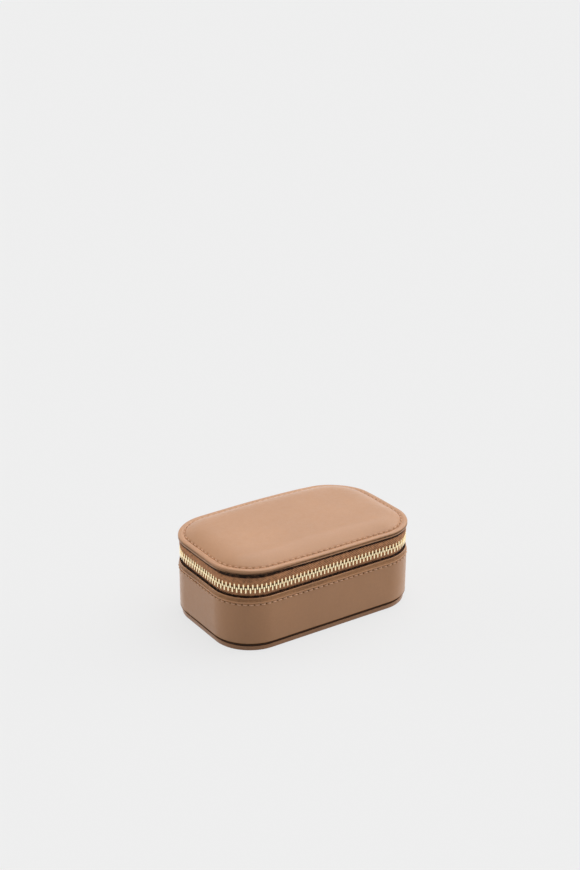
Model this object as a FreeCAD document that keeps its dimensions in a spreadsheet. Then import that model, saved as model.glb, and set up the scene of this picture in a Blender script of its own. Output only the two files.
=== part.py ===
"""Zip-round jewellery case, as a parametric FreeCAD document in millimetres.

A shallow leather-covered box with rounded corners. The base is a leather wall round a card frame, standing
on a covered sole, with a lined neck that rises behind the zip. The lid is a padded leather panel on a card
rim. A metal zip joins them round three sides and a strip of leather is the hinge at the back. Inside are ring
rolls, two compartments and a mirror in the lid.

The frame: +Z up, origin on the floor under the middle of the case, +X to the case's right and -Y to its front.
"""

import FreeCAD
import Part
import Sketcher

import math
import os

SHEET = "sizes"
UP = FreeCAD.Vector(0, 0, 1)

# Each driving dimension is written once, here, and is an aliased cell of the document's spreadsheet.
SIZES = (
    # the outline, which every ring and panel of the case is offset from
    ("case_length", 130.0, "outside length of the leather wall"),
    ("case_depth", 81.0, "outside depth of the leather wall, front to back"),
    ("corner_radius", 24.5, "outside radius of the wall's corners in plan"),
    # heights
    ("sole_height", 3.2, "covered sole, floor to top"),
    ("sole_groove", 1.0, "shadow gap between the sole and the wall's turned lower edge"),
    ("wall_height", 29.3, "leather wall, lower edge to rim"),
    ("zip_above_rim", 5.6, "rim of the wall to the middle of the chain"),
    ("lid_above_zip", 8.3, "middle of the chain to the underside of the lid panel"),
    ("lid_edge", 2.4, "thickness of the lid panel at its stitched border"),
    ("lid_dome", 4.4, "rise of the padded top above the border"),
    ("lid_inset", 0.4, "lid panel's edge behind the wall's face"),
    ("border_width", 4.0, "flat stitched border round the padding"),
    # thicknesses, from the face inwards
    ("leather", 1.2, "wall and cover leather"),
    ("tape", 0.6, "zip tape and hinge leather"),
    ("frame_board", 2.3, "card frame behind the tape"),
    ("neck_board", 1.5, "card neck behind the zip"),
    ("lining", 0.6, "microsuede lining"),
    ("sole_inset", 1.2, "sole's edge behind the wall's face"),
    ("sole_leather", 0.8, "leather under and round the sole board"),
    ("floor_board", 2.0, "card floor inside the frame"),
    ("lid_board", 1.5, "card in the lid panel"),
    ("cover_leather", 0.9, "leather over the lid's padding"),
    ("turned_edge", 0.5, "radius of a turned leather edge"),
    # fits
    ("glue_line", 0.1, "clearance between nested curved pieces that are glued"),
    ("soft_gap", 0.3, "clearance of a loose lined piece"),
    ("neck_gap", 0.8, "gap between the two necks when the lid is shut"),
    ("rim_drop", 0.8, "frame board's top below the leather rim"),
    ("tape_tail", 8.3, "tape glued down behind the leather, below the rim"),
    # the zip
    ("tooth_pitch", 2.5, "spacing of the teeth along one row"),
    ("tooth_reach", 3.0, "chain's middle to the outer end of a tooth"),
    ("tooth_overlap", 0.5, "how far a head passes the chain's middle"),
    ("tooth_head", 1.1, "width of a head along the chain"),
    ("tooth_leg", 0.9, "width of the legs along the chain"),
    ("tooth_thickness", 2.4, "tooth through the tape"),
    ("tape_edge", 1.0, "tape's edge from the chain's middle"),
    ("tooth_clearance", 0.08, "tooth's slot beyond the tape, on each side"),
    ("parting", 1.3, "how far the slider pushes each row aside"),
    ("slider_length", 12.0, "slider, tail to head"),
    ("slider_tail", 4.1, "half width of the slider's tail"),
    ("slider_head", 5.3, "half width of the slider's head"),
    ("slider_channel", 1.4, "half height of the channel that the teeth run in"),
    ("slider_plate", 0.9, "thickness of each plate"),
    ("slider_lip", 0.65, "width of the lips that hold the teeth"),
    ("slider_slot", 0.45, "half width of the slot between the lips for the tape"),
    ("wedge_half", 0.7, "half width of the wedge that parts the rows"),
    ("bail_length", 6.6, "bail along the slider"),
    ("bail_width", 1.6, "bail across the slider"),
    ("bail_metal", 0.8, "thickness of the bail"),
    ("pull_length", 25.0, "pull tab"),
    ("pull_width", 6.4, "pull tab's width at its free end"),
    ("pull_neck", 4.8, "pull tab's width at its eye"),
    ("pull_metal", 1.2, "thickness of the pull tab"),
    ("pull_clearance", 0.2, "pull tab's clearance from slider and bail"),
    # stitching
    ("stitch_pitch_lid", 3.83, "stitch spacing on the lid"),
    ("stitch_pitch_wall", 3.48, "stitch spacing on the wall"),
    ("stitch_inset", 2.6, "lid stitches from the panel's edge"),
    ("stitch_drop", 4.1, "wall stitches below the rim"),
    ("stitch_length", 2.7, "one stitch"),
    ("thread", 0.5, "thread's width"),
    ("thread_proud", 0.25, "how far a stitch stands off the leather"),
    # the inside
    ("divider", 2.6, "thickness of the padded dividers"),
    ("divider_height", 21.0, "dividers above the floor"),
    ("divider_place", 18.0, "cross divider's middle to the right of the case's middle"),
    ("roll_height", 19.0, "ring rolls above the floor"),
    ("roll_count", 4.0, "number of ring rolls"),
    ("mirror_length", 92.0, "mirror glass"),
    ("mirror_depth", 46.0, "mirror glass"),
    ("mirror_radius", 9.0, "mirror's corners"),
    ("mirror_glass", 1.6, "thickness of the glass and of its frame"),
)


class Size:
    """A length that carries its number and the expression that the document binds to it."""

    def __init__(self, number, text):
        self.number = number
        self.text = text

    def _join(self, other, sign, number):
        return Size(number, f"({self.text} {sign} {as_size(other).text})")

    def __add__(self, other):
        return self._join(other, "+", self.number + as_size(other).number)

    def __sub__(self, other):
        return self._join(other, "-", self.number - as_size(other).number)

    def __mul__(self, other):
        return self._join(other, "*", self.number * as_size(other).number)

    def __truediv__(self, other):
        return self._join(other, "/", self.number / as_size(other).number)


def as_size(value):
    return value if isinstance(value, Size) else Size(value, str(value))


ZERO = Size(0.0, "0")
S = {name: Size(number, f"{SHEET}.{name}") for name, number, _ in SIZES}

# Insets from the wall's outer face.
TAPE_OUT = S["leather"]
TAPE_IN = TAPE_OUT + S["tape"]
CHAIN = TAPE_OUT + S["tape"] / 2
FRAME_IN = TAPE_IN + S["frame_board"]
NECK_OUT = FRAME_IN + S["glue_line"]
NECK_IN = NECK_OUT + S["neck_board"]
LINING_OUT = NECK_IN + S["glue_line"]
LINING_IN = LINING_OUT + S["lining"]

# Heights above the floor.
WALL_BOTTOM = S["sole_height"] + S["sole_groove"]
RIM = WALL_BOTTOM + S["wall_height"]
CHAIN_HEIGHT = RIM + S["zip_above_rim"]
FRAME_TOP = RIM - S["rim_drop"]
TAPE_BOTTOM = RIM - S["tape_tail"]
BASE_NECK_TOP = CHAIN_HEIGHT - S["neck_gap"] / 2
LID_NECK_BOTTOM = CHAIN_HEIGHT + S["neck_gap"] / 2
LID_UNDERSIDE = CHAIN_HEIGHT + S["lid_above_zip"]
LID_RIM_BOTTOM = CHAIN_HEIGHT + S["slider_head"] + S["soft_gap"]
LID_BOARD_TOP = LID_UNDERSIDE + S["lid_board"]
BORDER_TOP = LID_UNDERSIDE + S["lid_edge"]
LID_TOP = BORDER_TOP + S["lid_dome"]
FLOOR_BOARD_TOP = S["sole_height"] + S["floor_board"]
FLOOR = FLOOR_BOARD_TOP + S["lining"]
CEILING = LID_UNDERSIDE - S["lining"]


def make_sheet(doc):
    sheet = doc.addObject("Spreadsheet::Sheet", SHEET)
    for row, (name, number, note) in enumerate(SIZES, start=1):
        sheet.set(f"A{row}", name)
        sheet.set(f"B{row}", str(number))
        sheet.setAlias(f"B{row}", name)
        sheet.set(f"C{row}", note)
    doc.recompute()
    return sheet


def bind(obj, prop, size):
    obj.setExpression(prop, size.text)


# ---------------------------------------------------------------- sketches and bodies


def new_body(doc, label):
    body = doc.addObject("PartDesign::Body", label)
    body.Label = label
    return body


def plan_sketch(body, name, height):
    """A sketch parallel to the floor, at that height, in the body's own origin plane."""
    sketch = body.newObject("Sketcher::SketchObject", name)
    plane = next(f for f in body.Origin.OriginFeatures if f.Role == "XY_Plane")
    sketch.AttachmentSupport = (plane, [""])
    sketch.MapMode = "FlatFace"
    sketch.AttachmentOffset = FreeCAD.Placement(FreeCAD.Vector(0, 0, height.number), FreeCAD.Rotation())
    bind(sketch, "AttachmentOffset.Base.z", height)
    return sketch


def driven(sketch, constraint, size, name):
    """Adds a dimension whose value comes from the sheet."""
    index = sketch.addConstraint(constraint)
    sketch.renameConstraint(index, name)
    bind(sketch, f"Constraints.{name}", size)


def add_loop(sketch, length, depth, radius, tag):
    """A rounded rectangle centred on the sketch's origin."""
    x, y, r = length.number / 2, depth.number / 2, radius.number
    flat_x, flat_y = x - r, y - r
    corners = ((flat_x, -flat_y, 270), (flat_x, flat_y, 0), (-flat_x, flat_y, 90), (-flat_x, -flat_y, 180))
    ends = (
        ((-flat_x, -y), (flat_x, -y)),
        ((x, -flat_y), (x, flat_y)),
        ((flat_x, y), (-flat_x, y)),
        ((-x, flat_y), (-x, -flat_y)),
    )
    first = sketch.GeometryCount
    for start, end in ends:
        sketch.addGeometry(Part.LineSegment(FreeCAD.Vector(*start, 0), FreeCAD.Vector(*end, 0)), False)
    for cx, cy, angle in corners:
        circle = Part.Circle(FreeCAD.Vector(cx, cy, 0), UP, r)
        arc = Part.ArcOfCircle(circle, math.radians(angle), math.radians(angle + 90))
        sketch.addGeometry(arc, False)
    side = [first + i for i in range(4)]
    corner = [first + 4 + i for i in range(4)]
    rules = []
    for i in range(4):
        rules.append(Sketcher.Constraint("Tangent", side[i], 2, corner[i], 1))
        rules.append(Sketcher.Constraint("Tangent", corner[i], 2, side[(i + 1) % 4], 1))
        rules.append(Sketcher.Constraint("Vertical" if i % 2 else "Horizontal", side[i]))
    rules += [Sketcher.Constraint("Equal", corner[0], corner[i]) for i in (1, 2, 3)]
    rules.append(Sketcher.Constraint("Symmetric", side[0], 1, side[2], 1, -1, 1))
    sketch.addConstraint(rules)
    driven(sketch, Sketcher.Constraint("Radius", corner[0], r), radius, f"{tag}_radius")
    driven(sketch, Sketcher.Constraint("Distance", side[3], 1, side[1], 2 * x), length, f"{tag}_length")
    driven(sketch, Sketcher.Constraint("Distance", side[2], 1, side[0], 2 * y), depth, f"{tag}_depth")


def add_outline(sketch, inset, tag):
    """The case's outline, moved inwards by inset."""
    both = inset * 2
    add_loop(sketch, S["case_length"] - both, S["case_depth"] - both, S["corner_radius"] - inset, tag)


def extrude(body, kind, name, sketch, height):
    feature = body.newObject(kind, name)
    feature.Profile = (sketch, [""])
    feature.Length = height.number
    bind(feature, "Length", height)
    sketch.Visibility = False
    return feature


def add_pad(body, name, loops, bottom, top):
    """A pad between two heights. A loop is an inset, or (length, depth, radius)."""
    sketch = plan_sketch(body, f"{name}_sketch", bottom)
    draw_loops(sketch, loops)
    return extrude(body, "PartDesign::Pad", name, sketch, top - bottom)


def add_pocket(body, name, loops, bottom, top):
    """A pocket between two heights, cut downwards from the upper one."""
    sketch = plan_sketch(body, f"{name}_sketch", top)
    draw_loops(sketch, loops)
    return extrude(body, "PartDesign::Pocket", name, sketch, top - bottom)


def draw_loops(sketch, loops):
    for number, loop in enumerate(loops, start=1):
        if isinstance(loop, Size):
            add_outline(sketch, loop, f"loop{number}")
        else:
            add_loop(sketch, *loop, f"loop{number}")


def inset_of(x, y, case):
    """How far inside the case's outline a point in plan lies."""
    radius = case["corner_radius"]
    over_x = abs(x) - (case["case_length"] / 2 - radius)
    over_y = abs(y) - (case["case_depth"] / 2 - radius)
    outside = math.hypot(max(over_x, 0), max(over_y, 0)) + min(max(over_x, over_y), 0)
    return radius - outside


def round_edges(doc, body, base, name, inset, height, radius, case):
    """Fillets the closed edge loop that runs at that inset and height."""
    doc.recompute()
    picked = []
    for number, edge in enumerate(base.Shape.Edges, start=1):
        middle = edge.valueAt((edge.FirstParameter + edge.LastParameter) / 2)
        level = all(abs(v.Z - height.number) < 1e-4 for v in edge.Vertexes)
        if level and abs(inset_of(middle.x, middle.y, case) - inset.number) < 1e-3:
            picked.append(f"Edge{number}")
    fillet = body.newObject("PartDesign::Fillet", name)
    fillet.Base = (base, picked)
    fillet.Radius = radius.number
    bind(fillet, "Radius", radius)
    return fillet


def ring(doc, label, outer, inner, bottom, top):
    body = new_body(doc, label)
    add_pad(body, f"{label}_ring", (outer, inner), bottom, top)
    return body


def panel(doc, label, inset, bottom, top):
    body = new_body(doc, label)
    add_pad(body, f"{label}_panel", (inset,), bottom, top)
    return body


# ---------------------------------------------------------------- the base


def make_sole(doc, case):
    """A leather tray, turned up round a card board."""
    edge = S["sole_inset"]
    body = new_body(doc, "sole_leather")
    pad = add_pad(body, "sole_block", (edge,), ZERO, S["sole_height"])
    low = round_edges(doc, body, pad, "sole_lower_edge", edge, ZERO, S["turned_edge"] * 2, case)
    round_edges(doc, body, low, "sole_upper_edge", edge, S["sole_height"], S["sole_leather"] / 2, case)
    inside = edge + S["sole_leather"]
    add_pocket(body, "sole_tray", (inside,), S["sole_leather"], S["sole_height"])
    board = panel(doc, "sole_board", inside + S["glue_line"], S["sole_leather"], S["sole_height"])
    return [body, board]


def make_wall(doc, case):
    """The leather wall and the card frame that it is glued to, which has a rebate for the zip tape."""
    leather = new_body(doc, "wall_leather")
    skin = add_pad(leather, "wall_band", (ZERO, S["leather"]), WALL_BOTTOM, RIM)
    top = round_edges(doc, leather, skin, "rim_edge", ZERO, RIM, S["turned_edge"], case)
    round_edges(doc, leather, top, "lower_edge", ZERO, WALL_BOTTOM, S["turned_edge"], case)
    frame = ring(doc, "wall_frame_board", TAPE_OUT + S["glue_line"], FRAME_IN, S["sole_height"], FRAME_TOP)
    rebate = (ZERO, TAPE_IN + S["glue_line"])
    add_pocket(frame, "tape_rebate", rebate, TAPE_BOTTOM - S["glue_line"], FRAME_TOP)
    return [leather, frame]


def make_base_inside(doc):
    """The neck that rises behind the zip, the floor, and their lining."""
    neck = ring(doc, "base_neck_board", NECK_OUT, NECK_IN, S["sole_height"], BASE_NECK_TOP)
    floor = panel(doc, "floor_board", LINING_OUT, S["sole_height"], FLOOR_BOARD_TOP)
    wall_lining = ring(doc, "base_wall_lining", LINING_OUT, LINING_IN, FLOOR_BOARD_TOP, BASE_NECK_TOP)
    floor_lining = panel(doc, "floor_lining", LINING_IN + S["glue_line"], FLOOR_BOARD_TOP, FLOOR)
    return [neck, floor, wall_lining, floor_lining]


def box_between(doc, name, low, high):
    """A Part::Box between two corners, each a tuple of three sizes."""
    box = doc.addObject("Part::Box", name)
    for prop, axis in (("Length", 0), ("Width", 1), ("Height", 2)):
        size = high[axis] - low[axis]
        setattr(box, prop, size.number)
        bind(box, prop, size)
    box.Placement.Base = FreeCAD.Vector(*(c.number for c in low))
    for letter, corner in zip("xyz", low):
        bind(box, f"Placement.Base.{letter}", corner)
    return box


def inner_half(axis):
    """Half the clear inside of the lined base, along X or Y."""
    return S[axis] / 2 - LINING_IN


def make_dividers(doc):
    """A cross divider between the compartments and the rings, and a long one between the compartments."""
    clear = S["soft_gap"]
    half_x, half_y = inner_half("case_length") - clear, inner_half("case_depth") - clear
    top = FLOOR + S["divider_height"]
    left = S["divider_place"] - S["divider"] / 2
    right = S["divider_place"] + S["divider"] / 2
    cross = box_between(doc, "cross_divider", (left, ZERO - half_y, FLOOR), (right, half_y, top))
    back, front = S["divider"] / 2, ZERO - S["divider"] / 2
    long = box_between(doc, "long_divider", (ZERO - half_x, front, FLOOR), (left - S["glue_line"], back, top))
    return [cross, long]


def make_ring_rolls(doc, case):
    """Foam rolls from front to back, side by side, each cut to the case's rounded inside."""
    clear = S["soft_gap"]
    count = int(round(case["roll_count"]))
    start = S["divider_place"] + S["divider"] / 2
    room = inner_half("case_length") - start
    width = (room - clear * (count + 1)) / count
    half_y = inner_half("case_depth")
    space = panel(doc, "roll_space", LINING_IN + clear, FLOOR, FLOOR + S["roll_height"])
    rolls = []
    for number in range(count):
        left = start + clear + (width + clear) * number
        shoulder = FLOOR + S["roll_height"] - width / 2
        low, high = (left, ZERO - half_y, FLOOR), (left + width, half_y, shoulder)
        block = box_between(doc, f"roll_block_{number + 1}", low, high)
        crown = doc.addObject("Part::Cylinder", f"roll_crown_{number + 1}")
        crown.Placement.Rotation = FreeCAD.Rotation(FreeCAD.Vector(1, 0, 0), -90)
        bind(crown, "Radius", width / 2)
        bind(crown, "Height", half_y * 2)
        bind(crown, "Placement.Base.x", left + width / 2)
        bind(crown, "Placement.Base.y", ZERO - half_y)
        bind(crown, "Placement.Base.z", shoulder)
        whole = doc.addObject("Part::Fuse", f"roll_blank_{number + 1}")
        whole.Base, whole.Tool = block, crown
        whole.Refine = True
        roll = doc.addObject("Part::Common", f"ring_roll_{number + 1}")
        roll.Base, roll.Tool = whole, space
        rolls.append(roll)
    return rolls


# ---------------------------------------------------------------- the lid


def crowned_panel(doc, label, inset, bottom, top, crown, case):
    """A panel whose upper edge is rounded."""
    body = new_body(doc, label)
    block = add_pad(body, f"{label}_block", (inset,), bottom, top)
    round_edges(doc, body, block, f"{label}_crown", inset, top, crown, case)
    return body


def make_lid_panel(doc, case):
    """The padded panel: card below, foam on it, and leather over both with a flat stitched border."""
    edge = S["lid_inset"]
    dome_edge = edge + S["border_width"]
    skin = S["cover_leather"]
    crown = S["lid_dome"] - skin / 2
    solid = new_body(doc, "cover_block")
    plate = add_pad(solid, "cover_plate", (edge,), LID_UNDERSIDE, BORDER_TOP)
    rim = round_edges(doc, solid, plate, "cover_edge", edge, BORDER_TOP, S["turned_edge"], case)
    round_edges(doc, solid, rim, "cover_lower_edge", edge, LID_UNDERSIDE, S["turned_edge"], case)
    dome = add_pad(solid, "cover_dome", (dome_edge,), BORDER_TOP, LID_TOP)
    round_edges(doc, solid, dome, "cover_crown", dome_edge, LID_TOP, crown, case)
    add_pocket(solid, "board_recess", (edge + skin,), LID_UNDERSIDE, LID_BOARD_TOP)
    foam_edge = dome_edge + skin
    foam_top = LID_TOP - skin
    hollow = crowned_panel(doc, "foam_hollow", foam_edge, LID_BOARD_TOP, foam_top, crown - skin, case)
    cover = doc.addObject("Part::Cut", "lid_cover_leather")
    cover.Base, cover.Tool = solid, hollow
    board = panel(doc, "lid_board", edge + skin + S["glue_line"], LID_UNDERSIDE, LID_BOARD_TOP)
    loose = S["glue_line"]
    top = foam_top - loose
    foam = crowned_panel(doc, "lid_foam_pad", foam_edge + loose, LID_BOARD_TOP, top, crown - skin - loose, case)
    return [cover, board, foam]


def make_lid_inside(doc):
    """The card rim that the tape is glued to, the lid's neck, and the lining."""
    rim = ring(doc, "lid_rim_board", TAPE_IN + S["glue_line"], FRAME_IN, LID_RIM_BOTTOM, LID_UNDERSIDE)
    neck = ring(doc, "lid_neck_board", NECK_OUT, NECK_IN, LID_NECK_BOTTOM, LID_UNDERSIDE)
    wall_lining = ring(doc, "lid_wall_lining", LINING_OUT, LINING_IN, LID_NECK_BOTTOM, LID_UNDERSIDE)
    ceiling = panel(doc, "lid_ceiling_lining", LINING_IN + S["glue_line"], CEILING, LID_UNDERSIDE)
    return [rim, neck, wall_lining, ceiling]


def make_mirror(doc):
    """The mirror, glued to the ceiling inside a lined card frame."""
    bottom = CEILING - S["mirror_glass"]
    size = (S["mirror_length"], S["mirror_depth"], S["mirror_radius"])
    glass = new_body(doc, "mirror")
    add_pad(glass, "mirror_glass_pad", (size,), bottom, CEILING)
    gap = S["soft_gap"]
    window = (size[0] + gap * 2, size[1] + gap * 2, size[2] + gap)
    frame = new_body(doc, "mirror_frame")
    add_pad(frame, "mirror_frame_pad", (LINING_IN + S["glue_line"], window), bottom, CEILING)
    return [glass, frame]


# ---------------------------------------------------------------- the zip


class ZipPath:
    """The line of the chain in plan: from the back left corner, round the front, to the back right corner."""

    def __init__(self, case, inset):
        self.radius = case["corner_radius"] - inset
        self.flat_x = case["case_length"] / 2 - case["corner_radius"]
        self.flat_y = case["case_depth"] / 2 - case["corner_radius"]
        quarter = self.radius * math.pi / 2
        x, y, r = self.flat_x, self.flat_y, self.radius
        self.runs = (
            ("arc", quarter, (-x, y), 90),
            ("line", 2 * y, (-x - r, y), 180),
            ("arc", quarter, (-x, -y), 180),
            ("line", 2 * x, (-x, -y - r), 270),
            ("arc", quarter, (x, -y), 270),
            ("line", 2 * y, (x + r, -y), 360),
            ("arc", quarter, (x, y), 0),
        )
        self.length = sum(run[1] for run in self.runs)

    def at(self, along):
        """Point and outward direction, in degrees, at that distance along the path."""
        for kind, length, place, angle in self.runs[:-1]:
            if along <= length:
                break
            along -= length
        else:
            kind, length, place, angle = self.runs[-1]
        if kind == "arc":
            outward = angle + 90 * along / length
            turn = math.radians(outward)
            return place[0] + self.radius * math.cos(turn), place[1] + self.radius * math.sin(turn), outward
        heading = math.radians(angle + 90)
        return place[0] + along * math.cos(heading), place[1] + along * math.sin(heading), angle

    def placement(self, along, height):
        """Local X runs along the path, local Y is up and local Z points out of the case."""
        x, y, outward = self.at(along)
        turn = math.radians(outward)
        out = FreeCAD.Vector(math.cos(turn), math.sin(turn), 0)
        along_path = UP.cross(out)
        rotation = FreeCAD.Rotation(along_path, UP, out, "ZXY")
        return FreeCAD.Placement(FreeCAD.Vector(x, y, height), rotation)


def prism(points, low, high):
    """A solid with that outline in local X and Y, between two values of local Z."""
    corners = [FreeCAD.Vector(x, y, low) for x, y in points]
    face = Part.Face(Part.makePolygon(corners + corners[:1]))
    return face.extrude(FreeCAD.Vector(0, 0, high - low))


def tooth_shape(case):
    """One tooth of the upper row: a head that passes the chain's middle and two legs that grip the tape."""
    head, leg = case["tooth_head"] / 2, case["tooth_leg"] / 2
    reach, overlap = case["tooth_reach"], case["tooth_overlap"]
    shoulder = case["tape_edge"]
    nose = head * 0.6
    outline = (
        (-nose, -overlap),
        (nose, -overlap),
        (head, -overlap / 2),
        (head, shoulder / 2),
        (leg, shoulder),
        (leg, reach),
        (-leg, reach),
        (-leg, shoulder),
        (-head, shoulder / 2),
        (-head, -overlap / 2),
    )
    half = case["tooth_thickness"] / 2
    body = prism(outline, -half, half)
    slot_half = case["tape"] / 2 + case["tooth_clearance"]
    slot_floor = shoulder - case["tooth_clearance"]
    wide = case["tooth_pitch"]
    corners = ((-wide, slot_floor), (wide, slot_floor), (wide, 2 * reach), (-wide, 2 * reach))
    return body.cut(prism(corners, -slot_half, slot_half))


def slider_place(case, path):
    """Distance along the path of the slider's middle: as far back on the right side as it stays straight."""
    return path.length - path.runs[-1][1] - case["slider_length"] / 2


def parting_at(along, middle, case):
    """How far each row stands off the chain's middle: nothing ahead of the slider, and apart behind it."""
    start = middle - case["slider_length"] / 8
    share = (along - start) / (case["slider_length"] / 4)
    return case["parting"] * max(0.0, min(1.0, share))


def add_solid(doc, label, shape):
    feature = doc.addObject("Part::Feature", label)
    feature.Label = label
    feature.Shape = shape
    return feature


def make_teeth(doc, case, path):
    """Two rows of separate teeth, half a pitch apart, meshed up to the slider and parted behind it."""
    tooth = tooth_shape(case)
    flip = tooth.mirror(FreeCAD.Vector(0, 0, 0), FreeCAD.Vector(0, 1, 0))
    height = CHAIN_HEIGHT.number
    middle = slider_place(case, path)
    pitch = case["tooth_pitch"]
    count = int((path.length - pitch) / pitch)
    margin = (path.length - count * pitch) / 2
    rows = []
    for label, shape, side, shift in (("upper_teeth", tooth, 1, 0.0), ("lower_teeth", flip, -1, 0.5)):
        solids = []
        for number in range(count):
            along = margin + (number + 0.25 + shift) * pitch
            copy = shape.copy()
            apart = parting_at(along, middle, case)
            copy.Placement = path.placement(along, height + side * apart)
            solids.append(copy)
        rows.append(add_solid(doc, label, Part.makeCompound(solids)))
    return rows


def make_tapes(doc, case, path):
    """The two tapes, open at the back. Behind the slider their edges draw back with the parted teeth."""
    made = []
    half_open = S["case_length"] / 2 - S["corner_radius"]
    parted_from = path.at(slider_place(case, path))[1] - case["slider_length"] / 8
    start = Size(parted_from, str(parted_from))
    drawn_back = S["tape_edge"] + S["parting"]
    for label, bottom, top in (
        ("upper_tape", CHAIN_HEIGHT + S["tape_edge"], LID_UNDERSIDE),
        ("lower_tape", TAPE_BOTTOM, CHAIN_HEIGHT - S["tape_edge"]),
    ):
        strip = ring(doc, f"{label}_strip", TAPE_OUT, TAPE_IN, bottom, top)
        low, high = (ZERO - half_open, ZERO, bottom), (half_open, S["case_depth"], top)
        opening = box_between(doc, f"{label}_opening", low, high)
        low = (ZERO, start, CHAIN_HEIGHT - drawn_back)
        high = (S["case_length"], S["case_depth"], CHAIN_HEIGHT + drawn_back)
        relief = box_between(doc, f"{label}_relief", low, high)
        away = doc.addObject("Part::MultiFuse", f"{label}_away")
        away.Shapes = [opening, relief]
        tape = doc.addObject("Part::Cut", label)
        tape.Base, tape.Tool = strip, away
        made.append(tape)
    return made


def make_hinge(doc):
    """The leather strip across the back, glued behind the wall below and to the lid's rim above."""
    half = S["case_length"] / 2 - S["corner_radius"] - S["soft_gap"]
    back = S["case_depth"] / 2
    low = (ZERO - half, back - TAPE_IN, TAPE_BOTTOM)
    high = (half, back - TAPE_OUT - S["glue_line"] / 2, LID_UNDERSIDE)
    return [box_between(doc, "rear_hinge_leather", low, high)]


def tapered(tail, head, half_length, scale=1.0):
    """The slider's outline: narrow at the tail, wide at the head, with its corners cut."""
    cut = half_length / 4
    return (
        (-half_length, -tail * scale + cut),
        (-half_length + cut, -tail * scale),
        (-cut, -tail * scale),
        (cut, -head * scale),
        (half_length - cut, -head * scale),
        (half_length, -head * scale + cut),
        (half_length, head * scale - cut),
        (half_length - cut, head * scale),
        (cut, head * scale),
        (-cut, tail * scale),
        (-half_length + cut, tail * scale),
        (-half_length, tail * scale - cut),
    )


def slider_body_shape(case):
    """Two plates joined by the wedge that parts the rows, with lips that hold the teeth in."""
    half = case["slider_length"] / 2
    tail, head = case["slider_tail"], case["slider_head"]
    channel, outer = case["slider_channel"], case["slider_channel"] + case["slider_plate"]
    lip = case["slider_lip"]
    outline = tapered(tail, head, half)
    wedge = case["wedge_half"]
    wedge_tip = half / 4
    wedge_outline = (
        (wedge_tip, 0),
        (wedge_tip + 2 * wedge, -wedge),
        (half - wedge, -wedge),
        (half - wedge, wedge),
        (wedge_tip + 2 * wedge, wedge),
    )
    solid = prism(wedge_outline, -outer, outer)
    step = half / 4
    run = (
        (-half - 1, tail - lip),
        (-step, tail - lip),
        (step, head - lip),
        (half + 1, head - lip),
    )
    channel_outline = run + tuple((x, -y) for x, y in reversed(run))
    for side in (-1, 1):
        low, high = sorted((side * case["slider_slot"], side * outer))
        half_shell = prism(outline, low, high)
        low, high = sorted((0, side * channel))
        solid = solid.fuse(half_shell.cut(prism(channel_outline, low, high)))
    return solid.removeSplitter()


def bail_shape(case):
    """A strap that rises off the outer plate and runs along the slider, for the pull tab to turn under."""
    outer = case["slider_channel"] + case["slider_plate"]
    half, metal = case["bail_length"] / 2, case["bail_metal"]
    top = outer + case["pull_metal"] + 2 * case["pull_clearance"] + metal
    profile = ((-half, outer), (-half, top - metal), (-half + metal, top), (half - metal, top))
    profile += ((half, top - metal), (half, outer), (half - metal, outer), (half - metal, top - metal))
    profile += ((-half + metal, top - metal), (-half + metal, outer))
    corners = [FreeCAD.Vector(x, -case["bail_width"] / 2, z) for x, z in profile]
    face = Part.Face(Part.makePolygon(corners + corners[:1]))
    return face.extrude(FreeCAD.Vector(0, case["bail_width"], 0))


def pull_shape(case):
    """A flat tab with an eye round the bail's tail leg, lying along the chain towards the tail."""
    outer = case["slider_channel"] + case["slider_plate"]
    low = outer + case["pull_clearance"]
    high = low + case["pull_metal"]
    neck, width, length = case["pull_neck"] / 2, case["pull_width"] / 2, case["pull_length"]
    eye_end = case["pull_metal"] * 0.75
    outline = (
        (eye_end, -neck),
        (eye_end, neck),
        (-length / 3, neck),
        (-length / 2, width),
        (-length + width / 2, width),
        (-length, width / 2),
        (-length, -width / 2),
        (-length + width / 2, -width),
        (-length / 2, -width),
        (-length / 3, -neck),
    )
    tab = prism(outline, low, high)
    hole_half = case["bail_width"] / 2 + case["pull_clearance"]
    hole_tail = -case["bail_length"] / 2 - case["pull_clearance"] - case["bail_metal"]
    hole = ((0, -hole_half), (0, hole_half), (hole_tail, hole_half), (hole_tail, -hole_half))
    return tab.cut(prism(hole, low - 1, high + 1))


def make_slider(doc, case, path):
    """The slider, its bail and its pull tab, on the right side of the case."""
    place = path.placement(slider_place(case, path), CHAIN_HEIGHT.number)
    made = []
    for label, shape in (
        ("slider_body", slider_body_shape(case)),
        ("slider_bail", bail_shape(case)),
        ("pull_tab", pull_shape(case)),
    ):
        feature = add_solid(doc, label, shape)
        feature.Placement = place
        made.append(feature)
    return made


# ---------------------------------------------------------------- the stitching


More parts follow.
